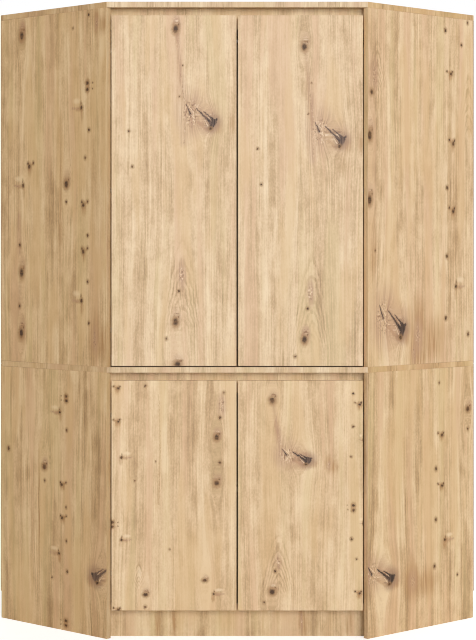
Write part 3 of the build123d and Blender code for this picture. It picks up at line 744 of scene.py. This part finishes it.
# ---- other finishes ----
def metal(name, colour, roughness, blotches=60.0):
    """Plated metal, with faint blotches and scratches in its shine."""
    material, net, shader = new_material(name)
    spot = net.add("ShaderNodeTexCoord").outputs["Object"]
    cloud = net.noise(spot, scale=blotches, detail=3.0)
    scratch = net.noise(net.vector("MULTIPLY", spot, (400, 400, 3000)), detail=2.0)
    wear = net.math("MULTIPLY_ADD", net.math("ADD", cloud, scratch), 0.5 * roughness, 0.5 * roughness)
    dull = tuple(0.82 * c for c in colour[:3]) + (1.0,)
    net.feed(shader.inputs["Base Color"], net.mix(net.spread(cloud, 0.35, 0.65), dull, colour))
    net.feed(shader.inputs["Roughness"], wear)
    shader.inputs["Metallic"].default_value = 1.0
    bump(net, shader, scratch, 0.00002, 0.3)
    return material


def fibreboard():
    """Raw side of a hard fibre board: brown felt of short fibres with a faint wire mesh pressed in."""
    material, net, shader = new_material("fibreboard")
    spot = net.add("ShaderNodeTexCoord").outputs["Object"]
    felt = net.noise(net.vector("MULTIPLY", spot, (700, 700, 500)), detail=4.0, roughness=0.7)
    cloud = net.noise(spot, scale=5.0, detail=6.0, roughness=0.7)
    parts = net.add("ShaderNodeSeparateXYZ")
    net.feed(parts.inputs[0], spot)
    mesh_lines = 0.0
    for coordinate in ("Z", "X"):
        wave = net.math("SINE", net.math("MULTIPLY", parts.outputs[coordinate], 3600.0))
        mesh_lines = net.math("MULTIPLY_ADD", wave, 0.06, mesh_lines)
    level = net.math("ADD", net.math("MULTIPLY_ADD", cloud, 0.3, net.math("MULTIPLY", felt, 0.8)), mesh_lines)
    brown = net.ramp(level, (0.3, srgb(142, 106, 74)), (0.55, srgb(172, 135, 98)), (0.8, srgb(198, 163, 124)))
    net.feed(shader.inputs["Base Color"], brown)
    shader.inputs["Roughness"].default_value = 0.85
    shader.inputs["Specular IOR Level"].default_value = 0.2
    bump(net, shader, level, 0.0003, 0.7)
    return material


def beech():
    """Plain turned wood with short dark flecks along it."""
    material, net, shader = new_material("beech")
    spot = net.add("ShaderNodeTexCoord").outputs["Object"]
    streaks = net.noise(net.vector("MULTIPLY", spot, (500, 500, 60)), detail=3.0)
    flecks = net.noise(net.vector("MULTIPLY", spot, (1600, 1600, 300)), detail=1.0)
    wood = net.ramp(streaks, (0.3, srgb(196, 156, 116)), (0.7, srgb(228, 194, 154)))
    wood = net.mix(net.spread(flecks, 0.62, 0.72, 0.0, 0.5), wood, srgb(160, 116, 80))
    net.feed(shader.inputs["Base Color"], wood)
    shader.inputs["Roughness"].default_value = 0.65
    bump(net, shader, streaks, 0.0002, 0.5)
    return material


def plastic():
    """Moulded plastic with a fine satin texture."""
    material, net, shader = new_material("grey_plastic")
    spot = net.add("ShaderNodeTexCoord").outputs["Object"]
    satin = net.noise(spot, scale=1800.0, detail=2.0)
    cloud = net.noise(spot, scale=80.0)
    net.feed(shader.inputs["Base Color"], net.mix(cloud, srgb(158, 159, 160), srgb(172, 172, 171)))
    net.feed(shader.inputs["Roughness"], net.math("MULTIPLY_ADD", satin, 0.2, 0.42))
    bump(net, shader, satin, 0.00004, 0.4)
    return material


FINISHES = {
    "beech": beech(),
    "chrome": metal("chrome", srgb(226, 227, 229), 0.09, 30.0),
    "nickel": metal("nickel", srgb(126, 121, 114), 0.36),
    "zinc": metal("zinc", srgb(186, 189, 193), 0.42, 140.0),
    "grey_plastic": plastic(),
    "hardboard": fibreboard(),
}

# ---- pieces ----
BOARD_ROUNDING = (0.0008, 0.012)  # the radius, and the length from which an edge gets it
BACK_ROUNDING = (0.0003, 0.012)
FITTING_ROUNDING = (0.0003, 0.004)
SAME_POINT = 1e-6  # distance at which points are one
SAME_POLE = 1e-7
FLAT = math.radians(1)  # faces that turn by less are one plane
SHARP = math.radians(35)  # an edge that turns by more is rounded
CREASE = math.radians(50)  # an edge of a screw or nail that turns by more is shaded sharp
ENDS = 1e-5  # thickness of the slices that tell a fastener's head from its tip
SIDES = 32  # of a fastener
CROWN_RINGS = 14
CROWN = 0.97  # of the head's radius, where the rim starts
PITCH = 0.65  # of a thread, over the shank's radius
# how far a face's normal has to lean to count as one side of its board
FLAT_FACING = 0.5  # a level board's top or bottom, up or down
FRONT_FACING = 0.9  # a level board's front edge, to the front
STRIP_FACING = 1.3  # a side panel's narrow edges, off or towards the wall, at most 1.41
INSIDE_FACING = 1.2  # a back panel's inside, off the wall, at most 1.41
BACKS = {
    "upper_left_back": (RIGHT_SIDE, 21, PLAIN_TINT),
    "lower_left_back": (RIGHT_SIDE, 22, PLAIN_TINT),
    "upper_right_back": (LEFT_SIDE, 23, PLAIN_TINT),
    "lower_right_back": (LEFT_SIDE, 24, PLAIN_TINT),
}
SCREWS = (
    "hinge_arm_screws",
    "hinge_plate_screws",
    "rail_bracket_screws",
    "wall_bracket_screws",
    "lower_left_cup_screws",
    "lower_right_cup_screws",
    "upper_left_cup_screws",
    "upper_right_cup_screws",
)
NAILS = "back_nails"


def in_scene(name, data):
    """New object in the scene."""
    made = bpy.data.objects.new(name, data)
    bpy.context.scene.collection.objects.link(made)
    return made


def body_of(node):
    """Name of the body that a CAD node rides on."""
    return frame["nodes"][node]["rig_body"]


def slot_of(node):
    """Material slot that the record gives a CAD node."""
    rows = frame["record"]["subparts"]
    return next(row["material_slot"] for row in rows if row["node"] == node)


def piece_for(node, mesh):
    """Object with the given mesh that stands in for a CAD node."""
    piece = in_scene(node + "_piece", mesh)
    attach(piece, body_of(node))
    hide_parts(node)
    slot_of(node)
    return piece


def softened(node, rounding, shortest, *materials):
    """Merged copy of a CAD node, with its sharp edges that are longer than `shortest` rounded."""
    mesh = frame["nodes"][node].data.copy()
    shape = bmesh.new()
    shape.from_mesh(mesh)
    bmesh.ops.remove_doubles(shape, verts=shape.verts, dist=SAME_POINT)

    def turn(edge):
        return edge.calc_face_angle(0.0)

    for face in shape.faces:
        face.smooth = any(FLAT < turn(edge) < SHARP for edge in face.edges)
    edges = [edge for edge in shape.edges if turn(edge) > SHARP and edge.calc_length() > shortest]
    new = bmesh.ops.bevel(shape, geom=edges, offset=rounding, segments=2, profile=0.5, affect="EDGES")
    for face in new["faces"]:
        face.smooth = True
    for edge in shape.edges:
        edge.smooth = turn(edge) < SHARP
    shape.to_mesh(mesh)
    shape.free()
    mesh.materials.clear()
    for material in materials:
        mesh.materials.append(material)
    return piece_for(node, mesh)


def parts_of(node):
    """Points of each separate part in a CAD node."""
    shape = bmesh.new()
    shape.from_mesh(frame["nodes"][node].data)
    bmesh.ops.remove_doubles(shape, verts=shape.verts, dist=SAME_POINT)
    left = dict.fromkeys(shape.verts)
    parts = []
    while left:
        found = [left.popitem()[0]]
        for vertex in found:
            for edge in vertex.link_edges:
                other = edge.other_vert(vertex)
                if other in left:
                    del left[other]
                    found.append(other)
        parts.append(np.array([vertex.co for vertex in found]))
    shape.free()
    return parts


def fastener(points, crossed):
    """Screw or nail in the place and size of the given CAD part, as vertex and face lists.

    x = r cos t, y = r sin t, z = h, with t from 0 to 2 pi round the axis. H and R are the head's height and
    radius, a is the shank's radius and S is the smooth step over 0.12 R. Over the head
    h = -0.35 H (r / R)^2 - D, where D = 0.6 H S(0.2 R - min(|x|, |y|)) S(0.66 R - max(|x|, |y|)) for a
    screw's cross and 0 for a nail. The rim is upright at r = R, from 0.42 H to 0.9 H below the crown's top.
    Down the shank, whose tip is a cone, r = a (0.9 + 0.1 cos(t - 2 pi h / p)) for a screw of pitch p, and
    r = a for a nail.
    """
    centre = points.mean(axis=0)
    _, sizes, axes = np.linalg.svd(points - centre, full_matrices=False)
    axis = axes[0] if sizes[0] - sizes[1] > sizes[1] - sizes[2] else axes[2]
    along = (points - centre) @ axis
    radii = np.linalg.norm(points - centre - np.outer(along, axis), axis=1)
    if radii[along > along.max() - ENDS].max() < radii[along < along.min() + ENDS].max():
        axis, along = -axis, -along
    top, tip = along.max(), along.min()
    head, shank = radii.max(), radii[along < tip + ENDS].max()
    depth = top - along[radii > 0.5 * (head + shank)].min()
    length = top - tip

    turns = np.linspace(0, 2 * np.pi, SIDES, endpoint=False)
    pitch = PITCH * shank
    over = np.linspace(0.0, CROWN, CROWN_RINGS) * head
    down = np.arange(depth, length - 1.2 * shank, pitch / 4 if crossed else length / 3)
    radius = [*over, head, head, 0.96 * head, *(shank for _ in down), 0.0]
    height = [*(-0.35 * depth * (over / head) ** 2), -0.42 * depth, -0.9 * depth, -depth, *-down, -length]
    r = np.array(radius)[:, None] * np.ones_like(turns)
    h = np.array(height)[:, None] * np.ones_like(turns)
    if crossed:
        x, y = np.abs(r * np.cos(turns)), np.abs(r * np.sin(turns))

        def step(value):
            share = np.clip(value / (0.12 * head), 0, 1)
            return share * share * (3 - 2 * share)

        arm = step(0.2 * head - np.minimum(x, y)) * step(0.66 * head - np.maximum(x, y))
        h[: len(over)] -= 0.6 * depth * arm[: len(over)]
        thread = slice(len(over) + 3, -1)
        r[thread] *= 0.9 + 0.1 * np.cos(turns - 2 * np.pi * h[thread] / pitch)
    side = np.cross(axis, (0.0, 0.0, 1.0) if abs(axis[2]) < 0.9 else (1.0, 0.0, 0.0))
    side /= np.linalg.norm(side)
    flat = np.stack((r * np.cos(turns), r * np.sin(turns), h + top), axis=-1).reshape(-1, 3)
    vertices = centre + flat @ np.stack((side, np.cross(axis, side), axis))
    rows, columns = r.shape
    faces = [
        (row * columns + k, (row + 1) * columns + k, (row + 1) * columns + n, row * columns + n)
        for row in range(rows - 1)
        for k, n in ((k, (k + 1) % columns) for k in range(columns))
    ]
    return vertices, faces


def fasteners(node, crossed):
    """Piece with every screw or nail of a CAD node."""
    vertices, faces = [], []
    for points in parts_of(node):
        some, sides = fastener(points, crossed)
        faces += [tuple(k + len(vertices) for k in side) for side in sides]
        vertices += some.tolist()
    mesh = bpy.data.meshes.new(node)
    mesh.from_pydata(vertices, [], faces)
    shape = bmesh.new()
    shape.from_mesh(mesh)
    bmesh.ops.remove_doubles(shape, verts=shape.verts, dist=SAME_POLE)
    bmesh.ops.recalc_face_normals(shape, faces=shape.faces)
    shape.to_mesh(mesh)
    shape.free()
    mesh.shade_smooth()
    mesh.set_sharp_from_angle(angle=CREASE)
    mesh.materials.append(FINISHES[slot_of(node)])
    piece_for(node, mesh)


def banded(piece, chosen):
    """Gives each face of the piece the material whose number `chosen` tells from the face's normal."""
    for face in piece.data.polygons:
        face.material_index = int(chosen(face.normal))


def level_face(normal):
    """0 on a level board's top and bottom, 1 on its front edge and 2 on its other edges."""
    if abs(normal.z) > FLAT_FACING:
        return 0
    return 1 if -normal.y > FRONT_FACING else 2


def off_wall(node, normal):
    """1.41 where the normal points straight away from the wall on the node's hand, and -1.41 towards it."""
    inward = 1 if "left" in node else -1
    return inward * normal.x - normal.y


def board(node, turn, seed, tint, marks=()):
    """Board in oak decor. A level board has edge bands and a side panel has plainer narrow edges, whose tint
    holds painted shade.
    """
    piece = softened(node, *BOARD_ROUNDING, oak("oak_" + node, turn, seed, tint, marks))
    if turn == LEVEL:
        # the edges show the grain end on
        for name, edge_tint in (("front_edge_", FRONT_EDGE_TINT), ("side_edge_", SIDE_EDGE_TINT)):
            piece.data.materials.append(oak(name + node, LEVEL, seed, edge_tint, edge=True))
        banded(piece, level_face)
    elif node.endswith("_side"):
        # painted shade in the narrow edges' tint, strongest on the left side panels
        strip_shade_tint = STRIP_SHADE_TINTS["left" if "left" in node else "right"]
        piece.data.materials.append(oak("edge_" + node, UPRIGHT, seed + STRIP_SEED, strip_shade_tint))
        banded(piece, lambda normal: abs(off_wall(node, normal)) > STRIP_FACING)


def back_panel(node, turn, seed, tint):
    """Back panel, raw on the side that faces the wall and with decor foil on the inside."""
    piece = softened(node, *BACK_ROUNDING, FINISHES["hardboard"], oak("oak_" + node, turn, seed, tint))
    banded(piece, lambda normal: off_wall(node, normal) > INSIDE_FACING)


for node, look in BOARDS.items():
    board(node, *look)
for node, look in BACKS.items():
    back_panel(node, *look)
for node in SCREWS:
    fasteners(node, crossed=True)
fasteners(NAILS, crossed=False)
for node in frame["nodes"]:
    if node not in BOARDS and node not in BACKS and node not in SCREWS and node != NAILS:
        softened(node, *FITTING_ROUNDING, FINISHES[slot_of(node)])


# ---- stage ----
def pale_floor():
    """Floor that is white to the camera and keeps the wardrobe's shadow."""
    corners = [(x * FLOOR_HALF, y * FLOOR_HALF, 0) for x, y in ((-1, -1), (1, -1), (1, 1), (-1, 1))]
    mesh = bpy.data.meshes.new("floor")
    mesh.from_pydata(corners, [], [(0, 1, 2, 3)])
    floor = in_scene("floor", mesh)
    material, net, shader = new_material("floor")
    shader.inputs["Base Color"].default_value = FLOOR_COLOUR
    shader.inputs["Roughness"].default_value = 0.9
    shader.inputs["Specular IOR Level"].default_value = 0.1
    seen = net.add("ShaderNodeLightPath").outputs["Is Camera Ray"]
    shader.inputs["Emission Color"].default_value = WHITE
    net.feed(shader.inputs["Emission Strength"], net.math("MULTIPLY", seen, FLOOR_GLOW))
    mesh.materials.append(material)


def surroundings():
    """Warm light from all round, which the camera, metal and glass see as white."""
    world = bpy.data.worlds.new("studio")
    bpy.context.scene.world = world
    world.use_nodes = True
    net = Net(world.node_tree)
    path = net.add("ShaderNodeLightPath")
    mirrored = net.math("MAXIMUM", path.outputs["Is Glossy Ray"], path.outputs["Is Transmission Ray"])
    shown = net.math("MAXIMUM", path.outputs["Is Camera Ray"], net.math("MULTIPLY", mirrored, MIRRORED))
    background = net.add("ShaderNodeBackground")
    net.feed(background.inputs["Color"], net.mix(shown, AMBIENT_COLOUR, WHITE))
    net.feed(background.inputs["Strength"], net.math("MAXIMUM", shown, AMBIENT))
    out = net.add("ShaderNodeOutputWorld")
    net.feed(out.inputs["Surface"], background.outputs[0])


def suns():
    """Wide suns, whose shadows are soft."""
    for name, (turn, rise, strength, width) in SUNS.items():
        sun = in_scene(name, bpy.data.lights.new(name, "SUN"))
        sun.data.energy = strength
        sun.data.angle = math.radians(width)
        sun.rotation_euler = Euler((math.radians(90 - rise), 0, math.radians(turn)))


def camera():
    """Level camera in front of the doors, with its view shifted down."""
    lens = bpy.data.cameras.new("camera")
    lens.sensor_fit = "VERTICAL"
    lens.sensor_height = SENSOR_MM
    lens.lens = FOCAL_MM
    lens.shift_y = -VIEW_DROP
    lens.clip_end = VIEW_REACH
    eye = in_scene("camera", lens)
    eye.location = CAMERA_AT
    eye.rotation_euler = Euler((math.pi / 2, 0, 0))
    scene = bpy.context.scene
    scene.camera = eye
    scene.view_settings.view_transform = "Standard"
    scene.cycles.filter_width = PIXEL_FILTER


pale_floor()
surroundings()
suns()
camera()
